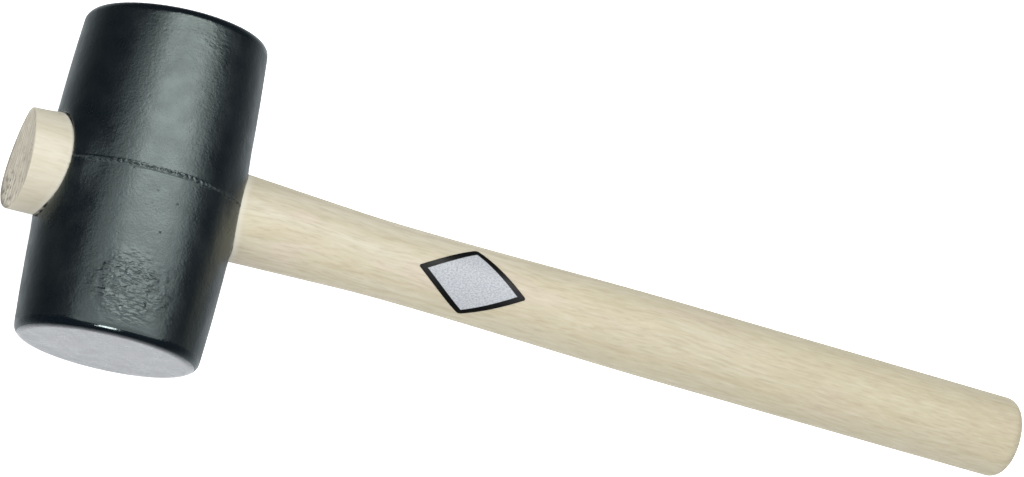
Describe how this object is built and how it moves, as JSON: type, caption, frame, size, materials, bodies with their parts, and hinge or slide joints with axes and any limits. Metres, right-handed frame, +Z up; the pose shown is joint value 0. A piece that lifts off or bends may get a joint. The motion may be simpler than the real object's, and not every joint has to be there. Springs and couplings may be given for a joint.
{
  "type": "rubber mallet",
  "caption": "Rubber mallet: a barrel-shaped moulded head with flat striking faces, on a turned wooden handle whose taper wedges in the head's eye.",
  "frame": {"origin": "middle of the bounding box in X and Y, on the surface that the mallet lies on", "axes": "+Z up; +Y along the head's axis; +X from the head towards the free end of the handle, level, while the handle itself slopes down from the head by 3.42 degrees until its butt touches the surface"},
  "size_m": [0.362, 0.1106, 0.0655],
  "materials": {
    "rubber": "satin moulded skin, slightly wrinkled, with a torn parting line round the middle",
    "wood": "smooth turned pale hardwood with a thin clear coat, bare end grain at the wide end",
    "label_foil": "thin printed foil, silver grey with a black border, blank"
  },
  "bodies": {
    "root": {"head": "rubber", "handle": "wood", "label": "label_foil"}
  },
  "joints": []
}
